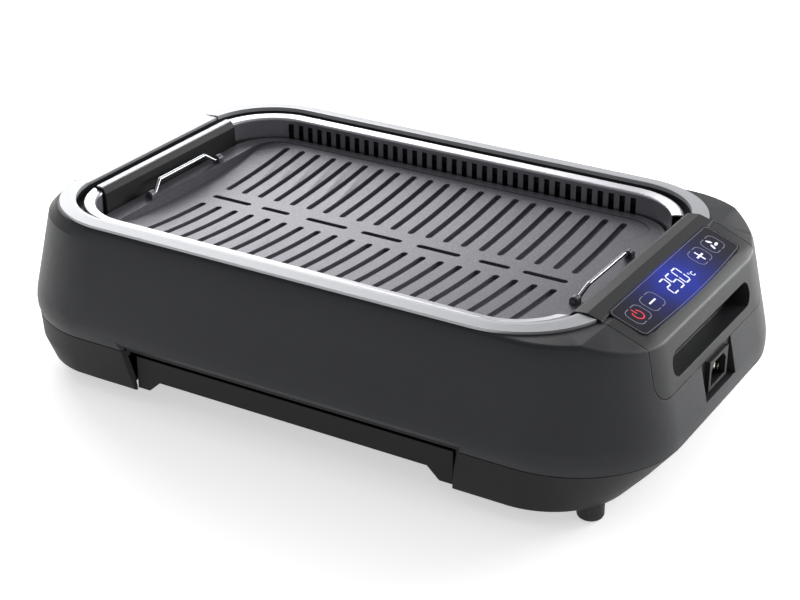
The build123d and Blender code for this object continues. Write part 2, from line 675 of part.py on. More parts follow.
def panel_plane(depth):
    """Plane on the module's sloping top at the middle of the touch panel."""
    angle = math.radians(SHOULDER_ANGLE)
    normal = Vector(math.sin(angle), 0, math.cos(angle))
    origin = Vector(PANEL_X, 0, shoulder_line(PANEL_X)) - normal * depth
    return Plane(origin=origin, x_dir=(0, 1, 0), z_dir=normal)


def panel_seat(grow):
    face = RectangleRounded(PANEL_LENGTH + 2 * grow, PANEL_WIDTH + 2 * grow, PANEL_CORNER + grow)
    return panel_plane(PANEL_THICK) * extrude(face, PANEL_THICK + 5)


def touch_panel():
    return panel_plane(PANEL_THICK) * extrude(RectangleRounded(PANEL_LENGTH, PANEL_WIDTH, PANEL_CORNER), PANEL_THICK)


def circuit_board():
    return panel_plane(BOARD_DEPTH) * extrude(Rectangle(*BOARD), BOARD_THICK)


def display_unit():
    return panel_plane(DISPLAY_DEPTH) * extrude(Rectangle(*DISPLAY), DISPLAY_THICK)


def module_case():
    """Open tub under the cover, with two runners on the bay floor and a leg for the inlet."""
    inset = MODULE_WALL + CASE_GAP
    low = MODULE_LOW_Z + inset
    tub = module_bay(-inset, MODULE_NOSE_X + 1, CASE_BACK_X) & block(0, REACH, -REACH, REACH, low, CASE_HIGH_Z)
    room = module_bay(-inset - CASE_WALL, MODULE_NOSE_X + 1 + CASE_WALL, CASE_BACK_X - CASE_WALL)
    tub -= room & block(0, REACH, -REACH, REACH, low + CASE_WALL, CASE_HIGH_Z + 10)
    tub -= block(0, PLUG_BACK_X + 0.3, -PLUG_HALF_Y - 0.3, PLUG_HALF_Y + 0.3, low - 1, PLUG_HIGH_Z + 0.3)
    floor_z = MODULE_LOW_Z - MODULE_GAP + RAIL_GAP
    for y in (-CASE_RUNNER_Y, CASE_RUNNER_Y):
        tub += block(MODULE_NOSE_X + 3, CASE_BACK_X - 2, y - 4, y + 4, floor_z, low + 1)
    tub += block(CASE_BACK_X - 12, CASE_BACK_X, -18, 18, INLET_Z + INLET_BODY / 2, low + 1)
    return tub


def module_plug():
    plug = block(MODULE_NOSE_X + 1, PLUG_BACK_X, -PLUG_HALF_Y, PLUG_HALF_Y, MODULE_LOW_Z + 2, PLUG_HIGH_Z)
    for y in (-TERMINAL_Y, TERMINAL_Y):
        plug -= Pos(PIN_END_X - 9, y, ELEMENT_Z) * Rot(0, 90, 0) * Cylinder(PIN_RADIUS + SHAFT_FIT, 20)
    return plug


def inlet_face_x():
    """Floor of the inlet pocket, set back from the outer wall at the inlet's height."""
    share = (INLET_Z - WIDE_Z) / (BAND_Z - WIDE_Z)
    wall_x = WIDE_OUTLINE[1] + (BAND_OUTLINE[1] - WIDE_OUTLINE[1]) * share
    return wall_x - POCKET_DEPTH


def inlet_block(width, height, x_low, x_high):
    return block(x_low, x_high, -width / 2, width / 2, INLET_Z - height / 2, INLET_Z + height / 2)


def inlet_socket():
    face = inlet_face_x()
    flange = block(face - 2, face, -POCKET_HALF_Y + 0.4, POCKET_HALF_Y - 0.4, POCKET_LOW_Z + 0.4, MODULE_LOW_Z - 0.5)
    body = inlet_block(INLET_SHROUD[0] - 3, INLET_BODY, INLET_BACK_X + 2, face)
    shroud = inlet_block(INLET_SHROUD[0], INLET_SHROUD[1], face - 1, face + INLET_PROUD)
    end = face + INLET_PROUD
    mouth = inlet_block(INLET_MOUTH[0], INLET_MOUTH[1], end - INLET_DEPTH, end + 1)
    corners = mouth.edges().filter_by(Axis.X).group_by(Axis.Z)[-1]
    return flange + body + shroud - chamfer(corners, INLET_BEVEL)


def inlet_pins():
    back = inlet_face_x() + INLET_PROUD - INLET_DEPTH
    pins = []
    for y, z in ((-7, -2), (7, -2), (0, 2)):
        pins.append(block(back, back + 13, y - 1, y + 1, INLET_Z + z - 2, INLET_Z + z + 2))
    return Compound(pins)


def scroll_outline(grow):
    """Volute from four quarter arcs whose radius steps up by SCROLL_STEP, then the outlet."""
    centre = Vector(0, 0)
    radius = SCROLL_START + grow
    lines = []
    for quarter in range(4):
        lines.append(CenterArc(centre, radius, 90 * quarter, 90))
        turn = math.radians(90 * (quarter + 1))
        centre = centre - Vector(math.cos(turn), math.sin(turn)) * SCROLL_STEP
        radius += SCROLL_STEP
    end = lines[-1] @ 1
    start = lines[0] @ 0
    out_y = SCROLL_OUTLET
    lines.append(Line(end, (end.X, out_y)))
    lines.append(Line((end.X, out_y), (start.X, out_y)))
    lines.append(Line((start.X, out_y), start))
    return make_face(lines)


def fan_scroll():
    """Volute housing with its inlet in the top and its outlet at the base's rear wall."""
    spot = Pos(FAN_X, FAN_Y, 0)
    high = SCROLL_HIGH_Z
    scroll = spot * Pos(0, 0, FLOOR_Z) * extrude(scroll_outline(SCROLL_WALL), high - FLOOR_Z)
    room_height = high - FLOOR_Z - 2 * SCROLL_WALL
    scroll -= spot * Pos(0, 0, FLOOR_Z + SCROLL_WALL) * extrude(scroll_outline(0), room_height)
    return scroll - rod(FAN_X, FAN_Y, high - 5, high + 5, FAN_INLET)


def fan_guard():
    """Inlet ring with concentric bars on three spokes."""
    low = SCROLL_HIGH_Z
    high = low + 1.6
    outer = FAN_INLET + 3
    ring = rod(FAN_X, FAN_Y, low, high, outer) - rod(FAN_X, FAN_Y, low, high, FAN_INLET - 1)
    for radius in (8.0, 15.5):
        ring += rod(FAN_X, FAN_Y, low, high, radius) - rod(FAN_X, FAN_Y, low, high, radius - 1.6)
    spoke = Pos(FAN_X, FAN_Y, (low + high) / 2) * Rot(0, 0, 60) * Box(2 * FAN_INLET, 2, high - low)
    return ring + [spoke.rotate(Axis((FAN_X, FAN_Y, 0), (0, 0, 1)), 60 * turn) for turn in range(3)]


def fan_impeller():
    """Blower wheel: hub, back disc, forward-curved blades and front ring."""
    hub = rod(0, 0, FAN_LOW_Z, FAN_HIGH_Z - 3, FAN_HUB) + rod(0, 0, FAN_LOW_Z, FAN_LOW_Z + 1.4, FAN_RADIUS)
    ring = rod(0, 0, FAN_HIGH_Z - 1.4, FAN_HIGH_Z, FAN_RADIUS) - rod(0, 0, 0, 90, FAN_EYE)
    arc = ThreePointArc((FAN_EYE + 0.3, 0), ((FAN_EYE + FAN_RADIUS) / 2, 1.0), (FAN_RADIUS - 0.3, 4.0))
    blade = Pos(0, 0, FAN_LOW_Z + 1) * extrude(trace(arc, 1.0), FAN_HIGH_Z - FAN_LOW_Z - 2)
    blades = [Rot(0, 0, 360 / FAN_BLADES * turn) * blade for turn in range(FAN_BLADES)]
    wheel = hub + ring + blades - rod(0, 0, 0, 90, SHAFT_RADIUS)
    return Pos(FAN_X, FAN_Y, 0) * wheel


def fan_shaft():
    return rod(FAN_X, FAN_Y, FLOOR_Z + SCROLL_WALL + 3, FAN_HIGH_Z - 3, SHAFT_RADIUS)


def fan_motor():
    low = FLOOR_Z + SCROLL_WALL
    can = rod(FAN_X, FAN_Y, low, MOTOR_HIGH_Z - 2, MOTOR_RADIUS)
    can = chamfer(can.edges().group_by(Axis.Z)[-1], 1.2)
    motor = can + rod(FAN_X, FAN_Y, low, MOTOR_HIGH_Z, FAN_HUB)
    return motor - rod(FAN_X, FAN_Y, low + 2.6, 90, SHAFT_RADIUS + SHAFT_FIT)


def foot_group():
    feet = []
    for x, y in FOOT_SPOTS:
        foot = rod(x, y, 0, FLOOR_Z - FLOOR_THICK, FOOT_RADIUS)
        foot = fillet(foot.edges().group_by(Axis.Z)[0], 3.0)
        feet += mirrored_y(foot)
    return Compound(feet)


def base_screws():
    low = FLOOR_Z - FLOOR_THICK
    screws = []
    for x, y in post_spots():
        screws.append(rod(x, y, low - SCREW_HEAD, low, SCREW_HEAD_RADIUS) + rod(x, y, low, low + SCREW_LENGTH, SCREW_RADIUS))
    return Compound(screws)


def main():
    os.makedirs("parts", exist_ok=True)
    trim_front, trim_rear = trim_rings()
    guard_front, guard_rear = splash_guards()
    outer_strip, inner_strip = end_strips()
    pieces = {
        "upper_housing": upper_housing(),
        "lower_base": lower_base(),
        "trim_front": trim_front,
        "trim_rear": trim_rear,
        "splash_guard_front": guard_front,
        "splash_guard_rear": guard_rear,
        "left_end_block": left_end_block(),
        "end_strip_outer": outer_strip,
        "end_strip_inner": inner_strip,
        "grill_plate": grill_plate(),
        "handle_left": handle(-1),
        "handle_right": handle(1),
        "drip_funnel": drip_funnel(),
        "heating_element": heating_element(),
        "element_clips": element_clips(),
        "element_terminals": element_terminals(),
        "plate_sensor": plate_sensor(),
        "water_tray": water_tray(),
        "tray_front": tray_front(),
        "tray_rails": tray_rails(),
        "module_cover": module_cover(),
        "module_case": module_case(),
        "touch_panel": touch_panel(),
        "circuit_board": circuit_board(),
        "display_unit": display_unit(),
        "module_plug": module_plug(),
        "inlet_socket": inlet_socket(),
        "inlet_pins": inlet_pins(),
        "fan_scroll": fan_scroll(),
        "fan_guard": fan_guard(),
        "fan_impeller": fan_impeller(),
        "fan_shaft": fan_shaft(),
        "fan_motor": fan_motor(),
        "feet": foot_group(),
        "base_screws": base_screws(),
    }
    for name, shape in pieces.items():
        export_step(shape, f"parts/{name}.step")


main()
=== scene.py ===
"""Visual model of a smokeless indoor grill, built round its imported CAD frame."""

import math

import bpy
from mathutils import Matrix, Vector


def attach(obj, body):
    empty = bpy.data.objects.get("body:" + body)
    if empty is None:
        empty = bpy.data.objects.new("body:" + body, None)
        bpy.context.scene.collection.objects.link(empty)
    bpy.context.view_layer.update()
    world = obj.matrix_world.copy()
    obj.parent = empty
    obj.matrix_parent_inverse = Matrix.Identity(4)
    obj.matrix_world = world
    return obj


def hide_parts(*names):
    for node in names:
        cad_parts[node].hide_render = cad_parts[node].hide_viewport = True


bl_info = {
    "name": "Smokeless Indoor Grill",
    "version": (1, 0, 0),
    "blender": (4, 5, 0),
    "location": "View3D > Sidebar > Grill",
    "description": "Finishes and fine pieces of a smokeless indoor grill",
    "category": "Add Mesh",
}

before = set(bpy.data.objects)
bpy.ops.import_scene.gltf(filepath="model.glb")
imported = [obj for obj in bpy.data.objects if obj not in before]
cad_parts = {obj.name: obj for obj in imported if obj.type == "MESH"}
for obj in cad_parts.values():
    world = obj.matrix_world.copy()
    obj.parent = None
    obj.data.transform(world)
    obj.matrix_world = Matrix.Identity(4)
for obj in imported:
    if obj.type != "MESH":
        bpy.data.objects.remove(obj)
bpy.context.view_layer.update()

MM = 0.001
WHITE = (1.0, 1.0, 1.0, 1.0)

# Camera in metres and degrees, with its focal length in pixels of the photograph's width
PHOTO_WIDTH = 800
FOCAL_PIXELS = 1843.3
SENSOR = 36.0
CAMERA_SPOT = (0.6168, -1.0245, 0.6391)
CAMERA_AZIMUTH = 30.83
CAMERA_ELEVATION = 25.98
CAMERA_NEAR = 0.05
CAMERA_FAR = 20.0

# Stage in metres. Each soft light has its place, what it looks at, its width and its height.
FLOOR_WIDTH = 9.0
KEY_LIGHT = ((-1.45, 1.2, 1.1), (-0.05, 0.0, 0.08), 1.5, 1.1)
END_LIGHT = ((0.85, 1.25, 0.45), (0.2, 0.0, 0.06), 0.8, 0.6)
# The surround goes from its front to its back brightness between these values of the view's Y
SURROUND_FROM = -0.7
SURROUND_TO = 0.5

# The touch panel lies on the module's sloping top. Across runs along +Y, as its user reads it,
# and up runs up the slope, towards the cooking area. The slope starts at a crest.
PANEL_SLOPE = math.radians(19.7)
PANEL_X = 0.216
CREST_TO_PANEL = 0.014
CREST_Z = 0.131
PANEL_SPOT = Vector((PANEL_X, 0.0, CREST_Z - CREST_TO_PANEL * math.tan(PANEL_SLOPE)))
PANEL_ACROSS = Vector((0.0, 1.0, 0.0))
PANEL_NORMAL = Vector((math.sin(PANEL_SLOPE), 0.0, math.cos(PANEL_SLOPE)))
PANEL_UP = PANEL_NORMAL.cross(PANEL_ACROSS)

# Reach of the backlight across and up the glass, in metres
GLOW_ACROSS = 0.043
GLOW_UP = 0.034

# What is printed on the glass, in millimetres across and up the panel
KEY_PLACES = (("power", -62.3, 0.2), ("minus", -40.5, 0.2), ("plus", 39.0, 1.0), ("fan", 61.0, 0.9))
FIGURES = "250"
FIGURES_ACROSS = -4.9
FIGURES_UP = 0.2
DEGREE_SPOT = (13.6, -4.6)
PRINT_RAISED = 0.36
PRINT_THICK = 0.06
GLASS_THICK = 0.3
GLASS_STRIPS = 16
GLASS_CORNER_BAND = 0.1
EDGE_LINE_INSET = 1.2
EDGE_LINE_WIDTH = 0.35
EDGE_LINE_RAISED = 0.03

# How strongly the prints are lit
LIT = 0.9
PALE = 0.35
DIM = 0.12

# Signs in the keys, in millimetres and radians
UPWARDS = math.radians(90)
POWER_RADIUS = 4.5
POWER_OPENING = math.radians(70)
POWER_BAR = 4.6
POWER_BAR_UP = 3.2
SIGN_WIDTH = 9.0
MINUS_STROKE = 1.2
PLUS_STROKE = 1.4
PLUS_ARM = 3.8
BLADE_COUNT = 3
BLADE_LONG = 2.5
BLADE_WIDE = 1.1
BLADE_REACH = 3.1
BLADE_TWIST = math.radians(35)

# Degree sign: radius and line of its small ring and of its letter, and where each stands
DEGREE_RING = (0.9, 0.35)
DEGREE_RING_SPOT = (-2.3, 2.0)
DEGREE_LETTER = (2.0, 0.65)
DEGREE_LETTER_SPOT = (1.0, 0.0)
DEGREE_LETTER_OPENING = math.radians(80)

# Strokes of a digit: how much shorter than the digit they are and how far their ends point,
# in widths of a stroke
ACROSS_CUT = 1.7
ALONG_CUT = 1.3
STROKE_POINT = 0.35
DIGIT_STROKES = {"2": "abged", "5": "afgcd", "0": "abcdef"}

# Outlines of the shells in millimetres at each height: lowest and highest x, half depth and
# corner radius. The frame's come first, then those of the real one, whose ends stand steeper.
FRAME_BASE = ((12.0, (-249.0, 236.0, 138.0, 68.0)), (44.0, (-254.0, 251.0, 145.0, 79.0)))
FRAME_WALLS = ((44.0, (-254.0, 251.0, 145.0, 79.0)), (54.0, (-257.0, 255.0, 148.5, 80.0)),
               (120.0, (-229.0, 243.0, 140.5, 71.0)), (129.0, (-224.5, 241.0, 138.2, 68.0)))
REAL_BASE = ((12.0, (-232.0, 224.4, 140.4, 57.8)), (26.0, (-246.0, 238.0, 142.8, 70.0)),
             (44.0, (-250.8, 252.5, 145.0, 79.0)))
REAL_WALLS = ((44.0, (-250.8, 252.5, 145.0, 79.0)), (49.0, (-251.0, 252.5, 146.9, 79.6)),
              (54.0, (-250.6, 252.1, 147.9, 80.0)), (60.0, (-249.4, 250.9, 148.0, 79.6)),
              (120.0, (-235.0, 237.4, 140.4, 72.0)), (129.0, (-225.0, 233.3, 138.2, 67.0)))
# Below the outer skin the reshaping fades out over this depth, in millimetres
SKIN_DEPTH = 12.0
MERGE_DISTANCE = 0.002
# Length under which a point counts as lying on the outline's core
ON_CORE = 0.001
SMOOTH_ANGLE = math.radians(11.5)

# Moulded edges catch light as if rounded by this much, in metres
EDGE_ROUND = 0.0007
EDGE_SAMPLES = 4
PLASTIC_IOR = 1.53
PLASTIC_SPECULAR = 0.2
PLASTIC_CLOUD = 0.1
# Noise seldom leaves this range, so it is stretched from it
NOISE_LOW = 0.3
NOISE_HIGH = 0.7

CORNER_SEGMENTS = 8
RING_POINTS = 48
LEAF_POINTS = 24


def srgb(code):
    """Linear colour of an sRGB hex value."""
    parts = [int(code[i:i + 2], 16) / 255 for i in (1, 3, 5)]
    return tuple(c / 12.92 if c <= 0.04045 else ((c + 0.055) / 1.055) ** 2.4 for c in parts)


def rgba(colour, level=1.0):
    """Colour at a brightness, with full alpha."""
    return (colour[0] * level, colour[1] * level, colour[2] * level, 1.0)


def colour_setting(name, description, code):
    """Colour property for the sidebar with an sRGB hex default."""
    return bpy.props.FloatVectorProperty(
        name=name, description=description, default=srgb(code), subtype="COLOR", min=0.0, max=1.0)


def level_setting(name, description, default, **kinds):
    """Number property for the sidebar that never goes below nought."""
    return bpy.props.FloatProperty(
        name=name, description=description, default=default, min=0.0, **kinds)


def length_setting(name, description, millimetres):
    """Length property for the sidebar, given in millimetres."""
    return level_setting(name, description, millimetres * MM, unit="LENGTH", subtype="DISTANCE")


class GrillFinishes(bpy.types.PropertyGroup):
    housing: colour_setting("Housing", "Satin graphite of the upper housing", "#2b2c2f")
    base: colour_setting("Base", "Darker plastic of the base and the tray front", "#1c1c1e")
    module: colour_setting("Module", "Plastic of the control module", "#242527")
    trim: colour_setting("Trim", "Silver paint of the rim", "#b0b1b5")
    steel: colour_setting("Steel", "Polished stainless steel of the splash guards", "#b4b4b9")
    plate: colour_setting("Plate", "Coating of the cast cooking plate", "#5c5b63")
    glow: colour_setting("Glow", "Backlight of the display", "#1630b4")
    power: colour_setting("Power", "Lit power sign", "#e8283c")
    keys: colour_setting("Keys", "Lit keys and digits", "#e8ecff")
    line: colour_setting("Line", "Line printed round the glass", "#8f93a6")


class GrillKeys(bpy.types.PropertyGroup):
    glass_length: length_setting("Glass length", "Length of the touch panel's glass", 158.0)
    glass_top: length_setting("Glass top", "From the glass's middle line to its upper edge", 15.2)
    glass_foot: length_setting("Glass foot", "From the glass's middle line to its outer corners", 14.0)
    glass_bulge: length_setting("Glass bulge", "How far the outer edge bulges", 2.7)
    glass_round: length_setting("Glass corner", "Corner radius of the glass", 5.0)
    glass_proud: length_setting("Glass height", "Height of the glass over the module's top", 0.3)
    key_width: length_setting("Key width", "Width of a key outline across the panel", 18.5)
    key_height: length_setting("Key height", "Height of a key outline up the panel", 14.3)
    key_round: length_setting("Key corner", "Corner radius of a key outline", 4.6)
    key_gap: length_setting("Key gap", "Opening in the top and bottom of a key outline", 2.5)
    line: length_setting("Line width", "Width of the key outlines", 0.5)
    sign_line: length_setting("Sign line", "Width of the ring in the power sign", 0.9)
    digit_height: length_setting("Digit height", "Height of the digits", 14.0)
    digit_width: length_setting("Digit width", "Width of a digit", 7.6)
    digit_pitch: length_setting("Digit pitch", "Distance between neighbouring digits", 9.6)
    stroke: length_setting("Stroke", "Width of a digit's strokes", 1.1)
    digit_slant: bpy.props.FloatProperty(
        name="Digit slant", description="Lean of the digits", default=math.radians(8),
        unit="ROTATION", subtype="ANGLE")


class GrillStage(bpy.types.PropertyGroup):
    floor: colour_setting("Floor", "Plain pale floor", "#f6f6f6")
    floor_glow: level_setting("Floor glow", "Light that the white floor gives off", 0.55)
    key_power: level_setting(
        "Key light", "Power of the soft light behind the left end", 34.0, unit="POWER")
    end_power: level_setting(
        "End light", "Power of the soft light behind the control end", 18.0, unit="POWER")
    surround: level_setting("Surround", "Brightness of the surround behind the object", 0.75)
    surround_front: level_setting(
        "Surround, front", "Brightness of the surround before the object", 0.3)


def add(tree, kind, settings=None, **links):
    """Adds a node.

    Settings hold attributes by name and socket values by number or label; links feed its inputs.
    """
    node = tree.nodes.new(kind)
    for key, value in (settings or {}).items():
        if isinstance(key, int) or key[0].isupper():
            node.inputs[key].default_value = value
        else:
            setattr(node, key, value)
    for label, source in links.items():
        numbered = label[0] == "i" and label[1:].isdigit()
        spot = int(label[1:]) if numbered else label.replace("_", " ")
        tree.links.new(source, node.inputs[spot])
    return node


def material(name):
    """New material with its tree, its shader and its Object coordinates in metres."""
    made = bpy.data.materials.new(name)
    made.use_nodes = True
    tree = made.node_tree
    shader = tree.nodes["Principled BSDF"]
    where = add(tree, "ShaderNodeTexCoord").outputs["Object"]
    return made, tree, shader, where


def feed(tree, shader, colour, rough=None, normal=None):
    """Links a shader's colour, roughness and normal to their sources."""
    for label, source in (("Base Color", colour), ("Roughness", rough), ("Normal", normal)):
        if source is not None:
            tree.links.new(source, shader.inputs[label])


def settle(shader, settings):
    """Sets a shader's plain values by their labels."""
    for label, value in settings.items():
        shader.inputs[label].default_value = value


def noise(tree, where, size_mm, detail=3.0, rough=0.55):
    """Noise whose features are about size_mm across."""
    settings = {"Scale": 1 / (size_mm * MM), "Detail": detail, "Roughness": rough}
    return add(tree, "ShaderNodeTexNoise", settings, Vector=where).outputs[0]


def ramp(tree, source, low, high, low_value, high_value):
    """Maps one number range to another."""
    settings = {1: low, 2: high, 3: low_value, 4: high_value}
    return add(tree, "ShaderNodeMapRange", settings, i0=source).outputs[0]


def uneven(tree, source, low_value, high_value):
    """Number that wanders with a noise between two values."""
    return ramp(tree, source, NOISE_LOW, NOISE_HIGH, low_value, high_value)


def mix(tree, share, first, second):
    """Colour between two constants or sources by share."""
    node = add(tree, "ShaderNodeMix", {"data_type": "RGBA"})
    tree.links.new(share, node.inputs[0])
    for spot, value in ((6, first), (7, second)):
        if isinstance(value, tuple):
            node.inputs[spot].default_value = value
        else:
            tree.links.new(value, node.inputs[spot])
    return node.outputs[2]


def bump(tree, height, depth_mm, strength, before=None):
    """Normal of a surface pressed in by a height, on top of the normal before it."""
    settings = {"Strength": strength, "Distance": depth_mm * MM}
    node = add(tree, "ShaderNodeBump", settings, Height=height)
    if before is not None:
        tree.links.new(before, node.inputs["Normal"])
    return node.outputs[0]


def moulded_plastic(name, colour, grain_mm, rough, grain_depth):
    """Plastic moulded in a spark-eroded tool: an even fine grain that breaks up the gloss."""
    made, tree, shader, where = material(name)
    grain = noise(tree, where, grain_mm, 2.0, 0.6)
    cloud = noise(tree, where, 60.0, 2.0)
    tone = mix(tree, cloud, rgba(colour, 1 - PLASTIC_CLOUD), rgba(colour, 1 + PLASTIC_CLOUD))
    gloss = uneven(tree, grain, rough - 0.06, rough + 0.08)
    rounded = add(tree, "ShaderNodeBevel", {"samples": EDGE_SAMPLES, "Radius": EDGE_ROUND}).outputs[0]
    feed(tree, shader, tone, gloss, bump(tree, grain, grain_depth, 0.6, rounded))
    settle(shader, {"IOR": PLASTIC_IOR, "Specular IOR Level": PLASTIC_SPECULAR})
    return made


def silver_paint(name, colour):
    """Silver paint on ABS: fine metal flake under a satin clear coat, so the rim flips to white."""
    made, tree, shader, where = material(name)
    flake = noise(tree, where, 0.35, 1.0)
    tone = mix(tree, flake, rgba(colour, 0.86), rgba(colour))
    feed(tree, shader, tone, uneven(tree, flake, 0.42, 0.5), bump(tree, flake, 0.01, 0.3))
    settle(shader, {"Metallic": 0.25, "Specular IOR Level": 0.3})
    return made


def polished_steel(name, colour, rough, brushed=0.0):
    """Metal sheet, rolled and buffed: long faint lines along the sheet and a soft sheen."""
    made, tree, shader, where = material(name)
    stretch = add(tree, "ShaderNodeMapping", {"Scale": (0.03, 0.03, 1.0)}, Vector=where)
    lines = noise(tree, stretch.outputs[0], 0.5, 2.0)
    smudge = noise(tree, where, 25.0, 2.0)
    tone = mix(tree, smudge, rgba(colour, 0.94), rgba(colour))
    gloss = uneven(tree, lines, rough - 0.04, rough + 0.05)
    feed(tree, shader, tone, gloss, bump(tree, lines, 0.02, 0.15 + brushed))
    settle(shader, {"Metallic": 1.0})
    return made


def speckled_coating(name, colour):
    """Sprayed non-stick coating on cast aluminium: pebbled skin with pale mineral specks."""
    made, tree, shader, where = material(name)
    pebble = noise(tree, where, 0.9, 4.0, 0.65)
    fine = noise(tree, where, 0.45, 2.0)
    settings = {"Scale": 1 / (1.3 * MM), "Randomness": 1.0}
    specks = add(tree, "ShaderNodeTexVoronoi", settings, Vector=where).outputs[0]
    speck = ramp(tree, specks, 0.10, 0.22, 1.0, 0.0)
    ground = mix(tree, pebble, rgba(colour, 0.6), rgba(colour, 1.25))
    tone = mix(tree, speck, ground, rgba(colour, 3.0))
    feed(tree, shader, tone, uneven(tree, fine, 0.36, 0.52), bump(tree, pebble, 0.12, 0.7))
    settle(shader, {"Metallic": 0.35, "IOR": 1.5})
    return made


def chrome_wire(name):
    """Chrome-plated steel wire, drawn and polished: bright, with faint drawing marks."""
    made, tree, shader, where = material(name)
    marks = noise(tree, where, 1.2, 2.0)
    tone = mix(tree, marks, rgba(srgb("#8c8e91")), rgba(srgb("#a4a6a9")))
    feed(tree, shader, tone, uneven(tree, marks, 0.18, 0.28))
    settle(shader, {"Metallic": 1.0})
    return made


def element_sheath(name):
    """Nickel-alloy heater sheath, oxidised by heat: dark olive grey in uneven patches."""
    made, tree, shader, where = material(name)
    heat = noise(tree, where, 18.0)
    skin = noise(tree, where, 0.6, 2.0)
    tone = mix(tree, heat, rgba(srgb("#4a4640")), rgba(srgb("#6a655c")))
    feed(tree, shader, tone, uneven(tree, skin, 0.38, 0.55), bump(tree, skin, 0.05, 0.4))
    settle(shader, {"Metallic": 0.85})
    return made


def ceramic(name):
    """Steatite block, pressed and fired: chalky cream with a dull skin."""
    made, tree, shader, where = material(name)
    grit = noise(tree, where, 0.7)
    tone = mix(tree, grit, rgba(srgb("#cfc8ba")), rgba(srgb("#e4dfd3")))
    feed(tree, shader, tone, uneven(tree, grit, 0.6, 0.75), bump(tree, grit, 0.08, 0.5))
    return made


def circuit_laminate(name):
    """Glass-fibre laminate under green solder mask: woven squares show through a gloss film."""
    made, tree, shader, where = material(name)
    settings = {"Scale": 60.0, "Mortar Size": 0.03}
    weave = add(tree, "ShaderNodeTexBrick", settings, Vector=where).outputs[1]
    tone = mix(tree, weave, rgba(srgb("#0e5a33")), rgba(srgb("#1b7a48")))
    feed(tree, shader, tone, ramp(tree, weave, 0.0, 1.0, 0.25, 0.35))
    return made


def rubber(name, colour):
    """Moulded rubber: soft bloom and a dull skin."""
    made, tree, shader, where = material(name)
    bloom = noise(tree, where, 2.5)
    tone = mix(tree, bloom, rgba(colour, 0.8), rgba(colour, 1.3))
    feed(tree, shader, tone, uneven(tree, bloom, 0.62, 0.8), bump(tree, bloom, 0.05, 0.4))
    return made


def sum_of(tree, operation, first, second=None, constant=None):
    """Result of one sum with sources, or with a source and a constant."""
    settings = {"operation": operation}
    if constant is not None:
        settings[1] = constant
    links = {"i0": first} if second is None else {"i0": first, "i1": second}
    return add(tree, "ShaderNodeMath", settings, **links).outputs[0]


def squared_share(tree, spread, way, length):
    """Square of how far a point lies along a direction, as a share of a length."""
    settings = {"operation": "DOT_PRODUCT", 1: tuple(way)}
    along = add(tree, "ShaderNodeVectorMath", settings, i0=spread).outputs["Value"]
    return sum_of(tree, "POWER", sum_of(tree, "DIVIDE", along, constant=length), constant=2.0)


def lit_glass(name, glow):
    """Printed glass over a backlight: gloss black that opens to blue round the digits."""
    made, tree, shader, where = material(name)
    settings = {"operation": "SUBTRACT", 1: tuple(PANEL_SPOT)}
    spread = add(tree, "ShaderNodeVectorMath", settings, i0=where).outputs[0]
    far = squared_share(tree, spread, PANEL_ACROSS, GLOW_ACROSS)
    high = squared_share(tree, spread, PANEL_UP, GLOW_UP)
    fall = sum_of(tree, "MULTIPLY", sum_of(tree, "ADD", far, high), constant=-1.0)
    patch = ramp(tree, noise(tree, where, 14.0, 2.0), 0.2, 0.8, 0.8, 1.15)
    lit = sum_of(tree, "MULTIPLY", sum_of(tree, "EXPONENT", fall), patch)
    feed(tree, shader, mix(tree, lit, rgba(srgb("#0a090b")), rgba(srgb("#0c1130"))))
    light = mix(tree, lit, rgba(srgb("#1c1226")), rgba(glow))
    tree.links.new(light, shader.inputs["Emission Color"])
    tree.links.new(ramp(tree, lit, 0.0, 1.0, 0.12, 0.85), shader.inputs["Emission Strength"])
    settle(shader, {"Roughness": 0.16, "Specular IOR Level": 0.2, "IOR": 1.5})
    return made


def lit_print(name, colour, strength):
    """Translucent print lit from behind, a little brighter in some places."""
    made, tree, shader, where = material(name)
    cloud = noise(tree, where, 4.0, 1.0)
    feed(tree, shader, mix(tree, cloud, rgba(colour, 0.5), rgba(colour, 0.6)))
    light = mix(tree, cloud, rgba(colour, 0.8), rgba(colour))
    tree.links.new(light, shader.inputs["Emission Color"])
    settle(shader, {"Emission Strength": strength, "Roughness": 0.3})
    return made


def dress(finish, *nodes):
    """Gives CAD nodes their finish."""
    for name in nodes:
        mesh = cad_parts[name].data
        mesh.materials.clear()
        mesh.materials.append(finish)


def deselect():
    """Leaves edit mode and selects nothing."""
    if bpy.context.mode != "OBJECT":
        bpy.ops.object.mode_set(mode="OBJECT")
    bpy.ops.object.select_all(action="DESELECT")


def select_only(*objects):
    """Selects these objects alone and makes the first one active."""
    deselect()
    for item in objects:
        item.select_set(True)
    bpy.context.view_layer.objects.active = objects[0]


def edit_all(item):
    """Opens an object in edit mode with all its points selected."""
    select_only(item)
    bpy.ops.object.mode_set(mode="EDIT")
    bpy.ops.mesh.select_mode(type="VERT")
    bpy.ops.mesh.select_all(action="SELECT")


def new_shape(name):
    """The shape that was made last, under its own name."""
    made = bpy.context.active_object
    made.name = made.data.name = name
    return made


def sized(made, width, height):
    """Gives a flat shape its size and applies it."""
    made.scale = (width, height, 1.0)
    bpy.ops.object.transform_apply(location=False, rotation=False, scale=True)
    return made


def flat_sheet(name, width, height):
    """Upright-facing sheet in the XY plane, the start of a printed shape."""
    deselect()
    bpy.ops.mesh.primitive_plane_add(size=1.0)
    return sized(new_shape(name), width, height)


def disc(name, radius, points):
    """Filled circle in the XY plane."""
    deselect()
    bpy.ops.mesh.primitive_circle_add(vertices=points, radius=radius, fill_type="NGON")
    return new_shape(name)


